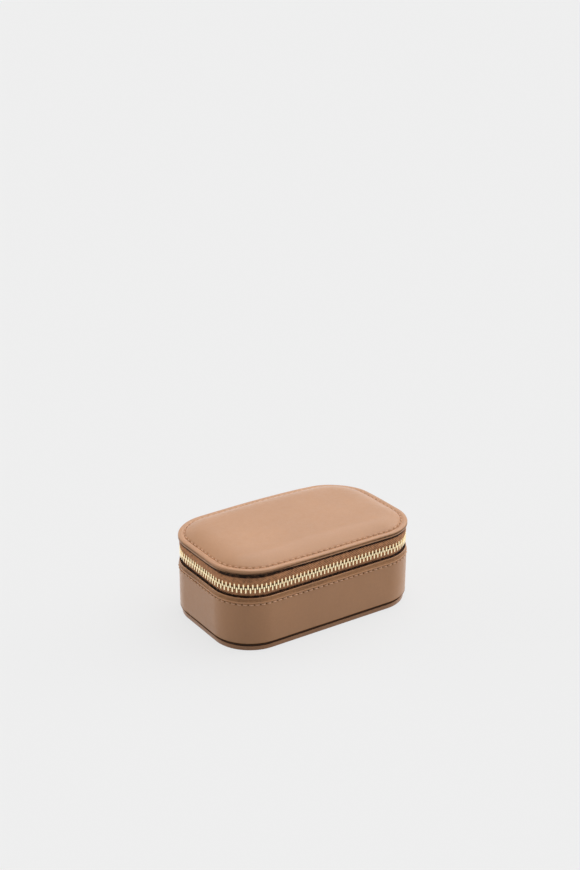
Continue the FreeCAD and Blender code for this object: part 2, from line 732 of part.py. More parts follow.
def make_stitching(doc, case):
    """Separate stitches: round the lid's border, and round the wall below its rim."""
    length, thread, proud = case["stitch_length"], case["thread"], case["thread_proud"]
    along_half, across_half = length / 2, thread / 2
    bar = ((-along_half, -across_half), (along_half, -across_half), (along_half, across_half))
    bar += ((-along_half, across_half),)
    wall_stitch = prism(bar, 0, proud)
    lid_stitch = Part.makeBox(length, proud, thread, FreeCAD.Vector(-along_half, 0, -across_half))
    lid_line = case["lid_inset"] + case["stitch_inset"]
    wall_height = (RIM - S["stitch_drop"]).number
    made = []
    for label, stitch, inset, height, pitch in (
        ("lid_stitching", lid_stitch, lid_line, BORDER_TOP.number, case["stitch_pitch_lid"]),
        ("wall_stitching", wall_stitch, 0.0, wall_height, case["stitch_pitch_wall"]),
    ):
        path = ZipPath(case, inset)
        back = 2 * path.flat_x
        count = int(round((path.length + back) / pitch))
        solids = []
        for number in range(count):
            along = (number + 0.5) * (path.length + back) / count
            copy = stitch.copy()
            if along <= path.length:
                copy.Placement = path.placement(along, height)
            else:
                start = path.placement(path.length, height)
                start.Base.x -= along - path.length
                copy.Placement = start
            solids.append(copy)
        made.append(add_solid(doc, label, Part.makeCompound(solids)))
    return made


# ---------------------------------------------------------------- the document


def check(obj):
    """Stops on a failed object or a shape that is not one or more closed valid solids."""
    shape = obj.Shape
    if shape.isNull() or not shape.isValid() or not shape.Solids:
        raise RuntimeError(f"{obj.Label} has no valid solid")
    if not all(solid.isClosed() and solid.Volume > 0 for solid in shape.Solids):
        raise RuntimeError(f"{obj.Label} has an open or empty solid")


def main():
    doc = FreeCAD.newDocument("jewellery_case")
    sheet = make_sheet(doc)
    case = {name: float(getattr(sheet, name)) for name, _, _ in SIZES}
    path = ZipPath(case, CHAIN.number)
    pieces = []
    pieces += make_sole(doc, case)
    pieces += make_wall(doc, case)
    pieces += make_base_inside(doc)
    pieces += make_dividers(doc)
    pieces += make_ring_rolls(doc, case)
    pieces += make_lid_panel(doc, case)
    pieces += make_lid_inside(doc)
    pieces += make_mirror(doc)
    pieces += make_tapes(doc, case, path)
    pieces += make_teeth(doc, case, path)
    pieces += make_hinge(doc)
    pieces += make_slider(doc, case, path)
    pieces += make_stitching(doc, case)
    doc.recompute()
    for obj in doc.Objects:
        if "Invalid" in obj.State or "Error" in obj.State:
            raise RuntimeError(f"{obj.Label} failed: {obj.State}")
    for piece in pieces:
        check(piece)
    os.makedirs("parts", exist_ok=True)
    for piece in pieces:
        piece.Shape.exportStep(f"parts/{piece.Label}.step")
        box = piece.Shape.BoundBox
        print(
            f"{piece.Label:22s} solids {len(piece.Shape.Solids):3d}  volume {piece.Shape.Volume:9.1f}"
            f"  z {box.ZMin:6.2f} to {box.ZMax:6.2f}"
        )


main()
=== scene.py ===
"""The looks of the zip-round jewellery case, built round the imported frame, in metres.

Leather, tapes, teeth, stitches, linings and cushions are modelled here and stand for their plain solids. The
slider, its pull and the mirror's frame are their plain solids with rounded edges. The card inside, the
mirror and the lining behind it keep their solids. Places and sizes come from the frame's nodes.
"""

import math

import bmesh
import bpy
import numpy as np
from mathutils import Matrix, Vector


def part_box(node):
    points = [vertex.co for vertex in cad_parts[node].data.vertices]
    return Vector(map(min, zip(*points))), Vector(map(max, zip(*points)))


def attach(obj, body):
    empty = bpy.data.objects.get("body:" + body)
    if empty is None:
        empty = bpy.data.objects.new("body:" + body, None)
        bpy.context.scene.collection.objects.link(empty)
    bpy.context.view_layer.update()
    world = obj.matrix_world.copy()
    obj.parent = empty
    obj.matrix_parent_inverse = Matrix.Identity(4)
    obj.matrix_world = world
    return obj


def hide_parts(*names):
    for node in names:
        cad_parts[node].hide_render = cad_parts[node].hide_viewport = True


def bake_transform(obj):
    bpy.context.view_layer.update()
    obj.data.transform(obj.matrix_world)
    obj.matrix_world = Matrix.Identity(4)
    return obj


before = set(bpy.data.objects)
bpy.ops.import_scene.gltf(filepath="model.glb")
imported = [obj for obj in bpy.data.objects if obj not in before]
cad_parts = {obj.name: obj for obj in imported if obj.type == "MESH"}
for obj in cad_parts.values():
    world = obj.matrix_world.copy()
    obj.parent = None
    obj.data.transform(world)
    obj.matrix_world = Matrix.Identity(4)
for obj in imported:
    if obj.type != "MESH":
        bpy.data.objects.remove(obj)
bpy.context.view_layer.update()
MM = 0.001

# ---- sizes, from the frame's nodes


def node_box(name):
    """A node's lowest and highest corners."""
    low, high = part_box(name)
    return np.array(low), np.array(high)


WALL_LOW, WALL_HIGH = node_box("wall_leather")
LID_UNDER = node_box("lid_cover_leather")[0][2]
SOLE_HIGH = node_box("sole_leather")[1]
NECK_HIGH = node_box("base_neck_board")[1]
LINING_HIGH = node_box("base_wall_lining")[1]
LID_NECK = node_box("lid_neck_board")
LID_FOAM_LOW = node_box("lid_foam_pad")[0][2]
STITCH_LID = node_box("lid_stitching")
STITCH_WALL = node_box("wall_stitching")
UPPER_TAPE = node_box("upper_tape")
LOWER_TAPE = node_box("lower_tape")
SLIDER = node_box("slider_body")

# Thicknesses, and the heights and distances that no node's box gives.
LEATHER = 1.2 * MM
TAPE = 0.6 * MM
LINING = 0.6 * MM
CORNER = 24.5 * MM
STITCH_FURTHER_IN = 0.75 * MM
NECK_FOOT = 5.3 * MM

# Heights, and how far inside the wall's outline each thing lies.
LENGTH = WALL_HIGH[0] - WALL_LOW[0]
DEPTH = WALL_HIGH[1] - WALL_LOW[1]
RIM = WALL_HIGH[2]
BORDER = STITCH_LID[0][2]
CHAIN = (SLIDER[0][2] + SLIDER[1][2]) / 2
TAPE_OUT = WALL_HIGH[0] - UPPER_TAPE[1][0]
TAPE_IN = TAPE_OUT + TAPE
CHAIN_INSET = (TAPE_OUT + TAPE_IN) / 2
SOLE_INSET = WALL_HIGH[0] - SOLE_HIGH[0]
NECK_OUT = WALL_HIGH[0] - NECK_HIGH[0]
LINING_IN = WALL_HIGH[0] - LINING_HIGH[0] + LINING
FLOOR = node_box("floor_lining")[1][2]
LID_STITCH_INSET = WALL_HIGH[0] - STITCH_LID[1][0] + STITCH_FURTHER_IN
WALL_STITCH_HEIGHT = (STITCH_WALL[0][2] + STITCH_WALL[1][2]) / 2

# The lid, the stitches and the teeth. PARTING is how far each row of teeth draws back beyond the slider.
LID_CORNER = 25.3 * MM
LID_OVER = 0.3 * MM
LID_STITCH_PITCH = 3.83 * MM
WALL_STITCH_PITCH = 3.48 * MM
DOME_RISE = 4.3 * MM
DOME_RUN = 17.0 * MM
DOME_CURVE = 2.6
TOOTH_PITCH = 2.5 * MM
TOOTH_DEPTH = 2.0 * MM
PARTING = 1.3 * MM
SLIDER_LENGTH = SLIDER[1][1] - SLIDER[0][1]
SLIDER_MIDDLE = (SLIDER[1][1] + SLIDER[0][1]) / 2

# How the soft lid lies: its bow at the back, and the spans over which it sinks and rises.
BACK_BOW = 1.2 * MM
BOW_HALF_LENGTH = 70 * MM
BACK_MARGIN = 3 * MM
BACK_SINK = 0.9 * MM
SINK_SPAN = (25 * MM, 62 * MM)
FRONT_RISE = 0.8 * MM
RISE_SPAN_LEFT = (5 * MM, 55 * MM)
RISE_SPAN_FRONT = (5 * MM, 34 * MM)

RIPPLE_WAVES = 6
SAME_PLACE = 1e-6
CLOTH_SCALE = 20.0
CLOTH_FRAMES = 14

# ---- the case's outline in plan


class Outline:
    """A rounded rectangle walked anticlockwise, from where the back straight ends at its left."""

    def __init__(self, length, depth, radius):
        self.radius = radius
        self.flat_x = length / 2 - radius
        self.flat_y = depth / 2 - radius
        quarter = radius * math.pi / 2
        x, y, r = self.flat_x, self.flat_y, radius
        self.runs = (
            (quarter, (-x, y), 90, True),
            (2 * y, (-x - r, y), 180, False),
            (quarter, (-x, -y), 180, True),
            (2 * x, (-x, -y - r), 270, False),
            (quarter, (x, -y), 270, True),
            (2 * y, (x + r, -y), 0, False),
            (quarter, (x, y), 0, True),
            (2 * x, (x, y + r), 90, False),
        )
        self.total = sum(run[0] for run in self.runs)
        self.three_sides = self.total - self.runs[-1][0]

    def sample(self, along):
        """Points and outward normals at those distances along the outline."""
        along = np.mod(np.asarray(along, float), self.total)
        points = np.zeros((*along.shape, 2))
        normals = np.zeros((*along.shape, 2))
        start = 0.0
        for length, place, angle, is_arc in self.runs:
            here = (along >= start) & (along <= start + length)
            step = along[here] - start
            turn = np.radians(angle + (90 * step / length if is_arc else 0 * step))
            out = np.stack([np.cos(turn), np.sin(turn)], -1)
            if is_arc:
                points[here] = np.array(place) + self.radius * out
            else:
                points[here] = np.array(place) + step[:, None] * np.stack([-out[:, 1], out[:, 0]], -1)
            normals[here] = out
            start += length
        return points, normals

    def inset(self, x, y):
        """How far inside the outline those points lie."""
        over_x, over_y = np.abs(x) - self.flat_x, np.abs(y) - self.flat_y
        far = np.hypot(np.maximum(over_x, 0), np.maximum(over_y, 0))
        return self.radius - far - np.minimum(np.maximum(over_x, over_y), 0)


CASE = Outline(LENGTH, DEPTH, CORNER)
LID = Outline(LENGTH + 2 * LID_OVER, DEPTH + 2 * LID_OVER, LID_CORNER)
ZIP = Outline(LENGTH - 2 * CHAIN_INSET, DEPTH - 2 * CHAIN_INSET, CORNER - CHAIN_INSET)


def smooth(low, high, value):
    """From 0 at low to 1 at high, level at both."""
    share = np.clip((value - low) / (high - low), 0, 1)
    return share * share * (3 - 2 * share)


def bump_at(value, centre, width):
    """A rounded bump: 1 at the centre, and next to nothing two widths off."""
    return np.exp(-(((value - centre) / width) ** 2))


def ripple(x, y, z, wavelength, seed):
    """A gentle unevenness between -1 and 1, the same in every run."""
    random = np.random.RandomState(seed)
    total = 0.0
    for _ in range(RIPPLE_WAVES):
        direction = random.normal(size=3)
        direction /= np.linalg.norm(direction)
        wave = 2 * math.pi / (wavelength * random.uniform(0.7, 1.6))
        phase = random.uniform(0, 2 * math.pi)
        total = total + np.sin(wave * (x * direction[0] + y * direction[1] + z * direction[2]) + phase)
    return total / RIPPLE_WAVES


def lid_lie(x, y):
    """How far the soft lid strays from flat: bowed at its back, up at front left and down at back right."""
    to_back = smooth(0.0, DEPTH / 2 - BACK_MARGIN, y)
    bow = BACK_BOW * np.cos(np.clip(x / BOW_HALF_LENGTH, -1, 1) * math.pi / 2) ** 2 * to_back
    sunk = BACK_SINK * smooth(*SINK_SPAN, x) * to_back
    raised = FRONT_RISE * smooth(*RISE_SPAN_LEFT, -x) * smooth(*RISE_SPAN_FRONT, -y)
    return bow + raised - sunk


# ---- meshes


def shade_smooth(mesh):
    mesh.polygons.foreach_set("use_smooth", np.ones(len(mesh.polygons), bool))


def make_object(name, verts, faces, corner_uvs=None, tone=None, weld=False):
    """A smooth-shaded mesh. Its tone, a number for each point, makes the material darker or lighter: it
    carries painted shade and painted highlights.
    """
    mesh = bpy.data.meshes.new(name)
    mesh.from_pydata(np.asarray(verts).tolist(), [], faces)
    if corner_uvs is not None:
        layer = mesh.uv_layers.new(name="UVMap")
        layer.data.foreach_set("uv", np.asarray(corner_uvs, np.float32).ravel())
    if tone is not None:
        attribute = mesh.attributes.new("tone", "FLOAT", "POINT")
        attribute.data.foreach_set("value", np.asarray(tone, np.float32).ravel())
    work = bmesh.new()
    work.from_mesh(mesh)
    if weld:
        bmesh.ops.remove_doubles(work, verts=work.verts, dist=SAME_PLACE)
    bmesh.ops.recalc_face_normals(work, faces=work.faces)
    work.to_mesh(mesh)
    work.free()
    shade_smooth(mesh)
    obj = bpy.data.objects.new(name, mesh)
    bpy.context.scene.collection.objects.link(obj)
    return obj


def running_length(points):
    """The distance walked along the points, at each of them."""
    steps = np.linalg.norm(np.diff(points, axis=0), axis=1)
    return np.concatenate([[0], np.cumsum(steps)])


def grid_object(name, grid, wrap_rows=False, wrap_columns=True, tone=None, weld=False, ends=False):
    """A mesh over a grid of points, with texture coordinates in metres along its columns and its rows."""
    rows, columns = grid.shape[:2]
    widest = int(np.argmax(np.abs(np.diff(grid, axis=1)).sum((1, 2))))
    closed = np.concatenate([grid[widest], grid[widest][:1]])
    across = np.concatenate([grid[:, 0], grid[:1, 0]])
    u, v = running_length(closed), running_length(across)
    faces, uvs = [], []
    for i in range(rows if wrap_rows else rows - 1):
        here, above = i * columns, (i + 1) % rows * columns
        for j in range(columns if wrap_columns else columns - 1):
            after = (j + 1) % columns
            faces.append((here + j, here + after, above + after, above + j))
            uvs += [(u[j], v[i]), (u[j + 1], v[i]), (u[j + 1], v[i + 1]), (u[j], v[i + 1])]
    if ends:
        for column in (0, columns - 1):
            faces.append(tuple(i * columns + column for i in range(rows)))
            uvs += [(u[column], v[i]) for i in range(rows)]
    return make_object(name, grid.reshape(-1, 3), faces, uvs, tone, weld)


def loft(outline, section, along):
    """Rings of points: each (inset, height) of the section carried round the outline."""
    points, normals = outline.sample(along)
    rings = []
    for inset, height in section:
        ring = np.zeros((len(along), 3))
        ring[:, :2] = points - normals * inset
        ring[:, 2] = height
        rings.append(ring)
    return np.array(rings)


def fill_in(ring, steps):
    """Rings from that one inwards to the line along the middle of the case."""
    reach = (LENGTH - DEPTH) / 2
    middle = np.zeros_like(ring)
    middle[:, 0] = np.clip(ring[:, 0], -reach, reach)
    middle[:, 2] = ring[:, 2]
    shares = 1 - np.arange(1, steps + 1) / steps
    return np.array([middle + (ring - middle) * share for share in shares])


def around(outline, spacing):
    """Distances along the outline, evenly spaced and about that far apart."""
    count = int(round(outline.total / spacing))
    return np.arange(count) * outline.total / count


def arc(centre_inset, centre_height, radius, start, end, steps):
    """Points of a section on a quarter or half round, by angle: 0 is outwards and 90 is up."""
    turns = np.radians(np.linspace(start, end, steps))
    return [(centre_inset - radius * math.cos(t), centre_height + radius * math.sin(t)) for t in turns]


def line(first, last, steps):
    """Points of a section between two others, without the first."""
    shares = np.arange(1, steps + 1) / steps
    return [(first[0] + (last[0] - first[0]) * s, first[1] + (last[1] - first[1]) * s) for s in shares]


def with_modifier(obj, kind, **settings):
    """Adds a modifier of that kind."""
    modifier = obj.modifiers.new(kind.lower(), kind)
    for key, value in settings.items():
        setattr(modifier, key, value)
    return modifier


def apply_modifiers(obj):
    """Bakes the modifiers into the mesh, so that none is left."""
    depsgraph = bpy.context.evaluated_depsgraph_get()
    baked = bpy.data.meshes.new_from_object(obj.evaluated_get(depsgraph))
    obj.modifiers.clear()
    obj.data = baked


def points_of(obj):
    return np.array([v.co for v in obj.data.vertices])


def place_points(obj, points):
    obj.data.vertices.foreach_set("co", points.astype(np.float32).ravel())
    obj.data.update()


def subdivide(obj):
    """Bakes one level of smooth subdivision."""
    with_modifier(obj, "SUBSURF", levels=1, render_levels=1)
    apply_modifiers(obj)


def lengths(vectors):
    """Each vector's length, with 1 in place of nothing."""
    length = np.linalg.norm(vectors, axis=1, keepdims=True)
    length[length < 1e-9] = 1.0
    return length


# ---- materials


class Graph:
    """The nodes of a material or a world, with short ways to add the ones used here."""

    def __init__(self, owner):
        owner.use_nodes = True
        self.tree = owner.node_tree

    def add(self, kind, **settings):
        node = self.tree.nodes.new(f"ShaderNode{kind}")
        for key, value in settings.items():
            if key in node.inputs:
                self.set(node.inputs[key], value)
            else:
                setattr(node, key, value)
        return node

    def set(self, socket, value):
        if isinstance(value, bpy.types.NodeSocket):
            self.tree.links.new(value, socket)
        else:
            socket.default_value = value

    def joined(self, kind, *values, **settings):
        """A node's output, with its inputs set in turn."""
        node = self.add(kind, **settings)
        for socket, value in zip(node.inputs, values):
            self.set(socket, value)
        return node.outputs[0]

    def surface(self, **values):
        shader = self.tree.nodes["Principled BSDF"]
        for key, value in values.items():
            self.set(shader.inputs[key.replace("_", " ")], value)

    def place(self):
        return self.add("TexCoord").outputs["Object"]

    def uv(self):
        split = self.add("SeparateXYZ")
        self.set(split.inputs[0], self.add("TexCoord").outputs["UV"])
        return split.outputs[0], split.outputs[1]

    def tone(self):
        return self.add("Attribute", attribute_name="tone").outputs["Fac"]

    def noise(self, place, scale, detail=3.0, roughness=0.5):
        node = self.add("TexNoise", Vector=place, Scale=scale, Detail=detail, Roughness=roughness)
        return node.outputs["Fac"]

    def warped(self, place, scale, reach):
        """The place, led astray by noise of that scale."""
        stray = self.add("TexNoise", Vector=place, Scale=scale).outputs["Color"]
        return self.joined("VectorMath", stray, (reach,) * 3, place, operation="MULTIPLY_ADD")

    def math(self, operation, *values):
        return self.joined("Math", *values, operation=operation)

    def total(self, start, *parts):
        """The start plus each part's value times its share."""
        for value, share in parts:
            start = self.math("MULTIPLY_ADD", value, share, start)
        return start

    def wave(self, value, length):
        """A sine with that wavelength."""
        return self.math("SINE", self.math("MULTIPLY", value, 2 * math.pi / length))

    def remap(self, value, low, high, start=0.3, end=0.7):
        """From low, where the value is start, to high, where it is end."""
        node = self.add("MapRange")
        for name, number in (("From Min", start), ("From Max", end), ("To Min", low), ("To Max", high)):
            node.inputs[name].default_value = number
        self.set(node.inputs["Value"], value)
        return node.outputs[0]

    def shades(self, value, colour, *factors):
        """The colour times each factor in turn, as the value goes from 0 to 1."""
        node = self.add("ValToRGB")
        self.set(node.inputs[0], value)
        elements = node.color_ramp.elements
        for _ in range(len(factors) - 2):
            elements.new(0.5)
        for number, factor in enumerate(factors):
            elements[number].position = number / (len(factors) - 1)
            elements[number].color = (*shaded(colour, factor), 1.0)
        return node.outputs[0]

    def bump(self, height, depth, strength=1.0, before=None):
        node = self.add("Bump", Height=height, Distance=depth, Strength=strength)
        if before is not None:
            self.set(node.inputs["Normal"], before)
        return node.outputs[0]

    def towards(self, direction, span, levels):
        """From the first level to the second as rays turn that way, over that span of cosines."""
        node = self.add("VectorMath", operation="DOT_PRODUCT")
        self.set(node.inputs[0], self.add("TexCoord").outputs["Generated"])
        self.set(node.inputs[1], Vector(direction).normalized())
        return self.remap(node.outputs["Value"], *levels, *span)

    def by_ray(self, shade, *choices):
        """That shade, with another in its place for each choice's kinds of rays."""
        path = self.add("LightPath")
        for other, kinds in choices:
            share = 0.0
            for kind in kinds:
                share = self.math("MAXIMUM", share, path.outputs[kind])
            shade = self.joined("MixShader", share, shade, other)
        return shade


def shaded(colour, factor):
    """The colour made darker or lighter."""
    return tuple(min(1.0, channel * factor) for channel in colour)


def leather_material(graph, colour):
    """Smooth full-grain leather: soft clouding, fine pebbled grain and pores, with painted shade and painted
    highlights from each point's tone; the painted shade also takes the gloss away.
    """
    place = graph.place()
    painted_light = graph.tone()
    cloud = graph.noise(place, scale=26.0, detail=4.0, roughness=0.55)
    fleck = graph.noise(place, scale=900.0, detail=2.0)
    value = graph.total(0.13, (cloud, 0.5), (fleck, 0.24), (painted_light, 0.5))
    strayed = graph.warped(place, scale=420.0, reach=1.1 * MM)
    cells = graph.add("TexVoronoi", feature="DISTANCE_TO_EDGE", Vector=strayed, Scale=1150.0)
    pebble = graph.remap(cells.outputs["Distance"], 0.0, 1.0, start=0.0, end=0.22)
    undulation = graph.noise(place, scale=160.0)
    pores = graph.noise(place, scale=5200.0, detail=2.0)
    normal = graph.bump(undulation, depth=0.22 * MM, strength=0.35)
    normal = graph.bump(pebble, depth=0.05 * MM, strength=0.5, before=normal)
    normal = graph.bump(pores, depth=0.03 * MM, strength=0.4, before=normal)
    graph.surface(
        Base_Color=graph.shades(value, colour, 0.16, 0.9, 1.0, 1.12, 1.4),
        Roughness=graph.remap(graph.noise(place, scale=340.0), 0.34, 0.46),
        Specular_IOR_Level=graph.remap(painted_light, 0.0, 0.36, start=-0.9, end=0.0),
        Coat_Weight=graph.remap(painted_light, 0.0, 0.26, start=-0.9, end=0.0),
        Coat_Roughness=0.2,
        Normal=normal,
    )


def tape_material(graph, colour):
    """Zip tape: a fine diagonal twill with its ribs running along the tape, painted darker in the weave's
    hollows, and painted shade from each point's tone, down to near black.
    """
    place = graph.place()
    u, v = graph.uv()
    twill = graph.wave(graph.math("ADD", u, v), length=1.4 * MM)
    rib = graph.wave(v, length=0.6 * MM)
    cloth = graph.total(0.5, (twill, 0.27), (rib, 0.14))
    fuzz = graph.noise(place, scale=2400.0)
    mottle = graph.remap(graph.noise(place, scale=620.0, detail=2.0), -0.16, 0.16)
    value = graph.total(graph.tone(), (cloth, 0.6), (fuzz, 0.4), (mottle, 1.0))
    normal = graph.bump(cloth, depth=0.16 * MM, strength=0.9)
    normal = graph.bump(fuzz, depth=0.05 * MM, strength=0.5, before=normal)
    graph.surface(
        Base_Color=graph.shades(value, colour, 0.02, 1.0, 1.7),
        Roughness=graph.remap(fuzz, 0.72, 0.9),
        Specular_IOR_Level=0.2,
        Sheen_Weight=0.06,
        Sheen_Roughness=0.5,
        Normal=normal,
    )


def suede_material(graph, colour):
    """Microsuede lining: a short nap, brushed in soft patches."""
    place = graph.place()
    patch = graph.noise(place, scale=55.0, roughness=0.6)
    nap = graph.noise(place, scale=2600.0, detail=4.0, roughness=0.7)
    normal = graph.bump(patch, depth=0.25 * MM, strength=0.3)
    normal = graph.bump(nap, depth=0.08 * MM, strength=0.6, before=normal)
    graph.surface(
        Base_Color=graph.shades(graph.total(0.0, (patch, 0.55), (nap, 0.45)), colour, 0.7, 1.0, 1.15),
        Roughness=graph.remap(nap, 0.86, 0.98),
        Sheen_Weight=0.45,
        Sheen_Roughness=0.45,
        Normal=normal,
    )


def metal_material(graph, colour):
    """Pale gold plate: bright, with a fine tumbled finish and faint dulling in patches."""
    place = graph.place()
    dull = graph.noise(place, scale=300.0, detail=4.0, roughness=0.6)
    fine = graph.noise(place, scale=5200.0)
    graph.surface(
        Base_Color=graph.shades(dull, colour, 0.8, 1.0, 1.08),
        Metallic=1.0,
        Roughness=graph.remap(dull, 0.16, 0.34),
        Normal=graph.bump(fine, depth=0.02 * MM, strength=0.4),
    )


def thread_material(graph, colour):
    """Waxed thread: two plies laid round each other."""
    u, v = graph.uv()
    along, across = 2 * math.pi / (0.9 * MM), 4 / MM
    lay = graph.total(0.0, (v, across), (u, along))
    ply = graph.total(0.5, (graph.math("SINE", lay), 0.5))
    fuzz = graph.noise(graph.place(), scale=5200.0, detail=2.0)
    graph.surface(
        Base_Color=graph.shades(graph.total(0.0, (fuzz, 0.5), (ply, 0.5)), colour, 0.62, 1.0, 1.2),
        Roughness=graph.remap(fuzz, 0.5, 0.7),
        Normal=graph.bump(ply, depth=0.08 * MM, strength=0.7),
    )


def card_material(graph, colour):
    """Pressed board: short fibres and specks."""
    place = graph.place()
    fibre = graph.noise(place, scale=1400.0, detail=5.0, roughness=0.7)
    speck = graph.noise(place, scale=260.0, detail=2.0)
    graph.surface(
        Base_Color=graph.shades(graph.total(0.0, (speck, 0.4), (fibre, 0.6)), colour, 0.6, 1.0, 1.3),
        Roughness=graph.remap(fibre, 0.82, 0.96),
        Normal=graph.bump(fibre, depth=0.06 * MM, strength=0.6),
    )


def foam_material(graph, colour):
    """Foam with small round cells."""
    cells = graph.add("TexVoronoi", Vector=graph.place(), Scale=1100.0).outputs["Distance"]
    graph.surface(
        Base_Color=graph.shades(cells, colour, 0.7, 1.0, 1.1),
        Roughness=graph.remap(cells, 0.85, 0.97, start=0.0, end=1.0),
        Normal=graph.bump(cells, depth=0.15 * MM, strength=0.8),
    )


def mirror_material(graph, colour):
    """Silvered glass with a trace of unevenness."""
    place = graph.place()
    haze = graph.noise(place, scale=90.0)
    uneven = graph.noise(place, scale=30.0, detail=1.0)
    graph.surface(
        Base_Color=graph.shades(haze, colour, 0.96, 1.0),
        Metallic=1.0,
        Roughness=graph.remap(haze, 0.015, 0.05),
        Normal=graph.bump(uneven, depth=0.02 * MM, strength=0.2),
    )


def make_material(name, build, colour):
    material = bpy.data.materials.new(name)
    build(Graph(material), colour)
    return material


TAN = (0.58, 0.298, 0.152)
MATERIALS = {
    name: make_material(name, build, colour)
    for name, build, colour in (
        ("cover_leather", leather_material, TAN),
        # The wall's leather is a darker copy of the cover's tan: painted shade on the sides, which face away
        # from the overhead light.
        ("wall_leather", leather_material, (0.53, 0.264, 0.124)),
        ("sole_leather", leather_material, (0.45, 0.215, 0.10)),
        ("hinge_leather", leather_material, shaded(TAN, 0.85)),
        # The boards' card is near-black: painted shade where it shows in the groove over the sole and in
        # other gaps.
        ("card", card_material, (0.07, 0.04, 0.025)),
        ("foam", foam_material, (0.75, 0.7, 0.6)),
        ("lining", suede_material, (0.62, 0.49, 0.36)),
        ("tape", tape_material, (0.61, 0.285, 0.14)),
        ("teeth", metal_material, (1.0, 0.85, 0.56)),
        ("slider_metal", metal_material, (0.96, 0.80, 0.51)),
        ("thread", thread_material, (0.78, 0.49, 0.31)),
        ("mirror_glass", mirror_material, (0.86, 0.88, 0.88)),
    )
}


def finish_piece(obj, body, slot, *nodes):
    """Gives a piece its material, its body and the plain solids it stands for."""
    obj.data.materials.clear()
    obj.data.materials.append(MATERIALS[slot])
    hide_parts(*nodes)
    if body:
        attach(obj, body)


# ---- the base


def pucker(outline, along, line_inset, pitch):
    """How far stitches pull the leather down round the outline: 1 at their holes and less between."""
    points, normals = outline.sample(along)
    line_points = points - normals * line_inset
    length = running_length(np.concatenate([line_points, line_points[:1]]))
    count = round(length[-1] / pitch)
    phase = length[:-1] / length[-1] * count
    return 0.6 + 0.4 * np.cos(2 * math.pi * phase)


def wall_relief(grid, groove):
    """How far the wall's leather stands out: in at the stitches, stepped back under the rim, and uneven."""
    x, y, height = np.moveaxis(grid, -1, 0)
    pulled_in = 0.34 * MM * groove * bump_at(height, WALL_STITCH_HEIGHT, 0.55 * MM)
    shoulder = 0.16 * MM * bump_at(height, RIM - 2.7 * MM, 0.7 * MM)
    step_back = 0.26 * MM * smooth(RIM - 2.3 * MM, RIM - 1.6 * MM, height)
    dent = 0.10 * MM * bump_at(height, WALL_LOW[2] + 1.9 * MM, 0.6 * MM)
    waver = 0.14 * MM * ripple(x, y, height, 26 * MM, 4)
    return shoulder + waver - pulled_in - step_back - dent


def wall_painted_light(height, groove):
    """Painted highlights along the shoulder and the rim, and painted shade in the stitches, on the band
    under the lid's overhang and at the foot by the groove.
    """
    shoulder = 1.1 * bump_at(height, RIM - 2.75 * MM, 0.22 * MM)
    rim = bump_at(height, RIM, 0.35 * MM)
    band = smooth(RIM - 2.6 * MM, RIM - 2.3 * MM, height) * smooth(RIM - 0.1 * MM, RIM - 0.5 * MM, height)
    stitch_hole_shade = 1.3 * groove**3 * bump_at(height, WALL_STITCH_HEIGHT, 0.42 * MM)
    foot = 1.2 * smooth(WALL_LOW[2] + 1.1 * MM, WALL_LOW[2] + 0.6 * MM, height)
    return shoulder + rim - 0.58 * band - stitch_hole_shade - foot


def make_wall():
    """The wall: a turned lower edge, a flat face, a stitch line and a rolled rim off the tape."""
    low, foot, roll = WALL_LOW[2], 0.6 * MM, 0.42 * MM
    section = [(LEATHER, low + 0.5 * MM), (LEATHER - 0.3 * MM, low)]
    section += arc(foot, low + foot, foot, -90, 0, 8)
    section += line(section[-1], (0, RIM - 6.5 * MM), 40)
    section += line(section[-1], (0, RIM - 0.45 * MM), 40)
    section += arc(roll, RIM - roll, roll, 8, 172, 10)
    face_rows = len(section) - 5
    section += [(0.86 * MM, RIM - 1.2 * MM), (LEATHER, RIM - 3 * MM)]
    along = around(CASE, 0.5 * MM)
    grid = loft(CASE, section, along)
    rows = np.arange(len(grid))[:, None]
    groove = pucker(CASE, along, 0.0, WALL_STITCH_PITCH)[None, :]
    # Painted shade also on the rim's rows that turn in behind the tape, in the gap between them.
    tone = wall_painted_light(grid[..., 2], groove) - 1.2 * (rows > face_rows)
    out = wall_relief(grid, groove) * (rows > 1) * (rows < face_rows)
    normals = CASE.sample(along)[1]
    grid[..., :2] += normals[None] * out[..., None]
    wall = grid_object("wall", grid, tone=tone, wrap_rows=True)
    finish_piece(wall, "base", "wall_leather", "wall_leather")


def make_sole():
    """The covered sole: flat underneath and softly rounded where the leather turns up."""
    top, inset, lower, upper = SOLE_HIGH[2], SOLE_INSET, 0.55 * MM, 0.8 * MM
    section = [(9 * MM, 0.0), (3 * MM, 0.0)]
    section += arc(inset + lower, lower, lower, -90, 0, 7)
    section += arc(inset + upper, top - upper, upper, 0, 90, 9)
    section += [(inset + 3 * MM, top)]
    grid = loft(CASE, section, around(CASE, 0.8 * MM))
    grid = np.concatenate([fill_in(grid[0], 12)[::-1], grid])
    x, y, height = np.moveaxis(grid, -1, 0)
    # Painted light: a painted highlight along the sole's side, and painted shade where it meets the floor
    # and on its top, under the groove.
    side = 0.25 * bump_at(height, 1.4 * MM, 0.5 * MM)
    underside = 0.8 * bump_at(height, 0.0, 0.45 * MM)
    turned_in = 1.6 * smooth(inset, inset + 0.22 * MM, CASE.inset(x, y)) * (height > top / 2)
    sole = grid_object("sole", grid, tone=side - underside - turned_in, weld=True)
    with_modifier(sole, "SOLIDIFY", thickness=0.1 * MM, offset=-1.0)
    apply_modifiers(sole)
    finish_piece(sole, "base", "sole_leather", "sole_leather")


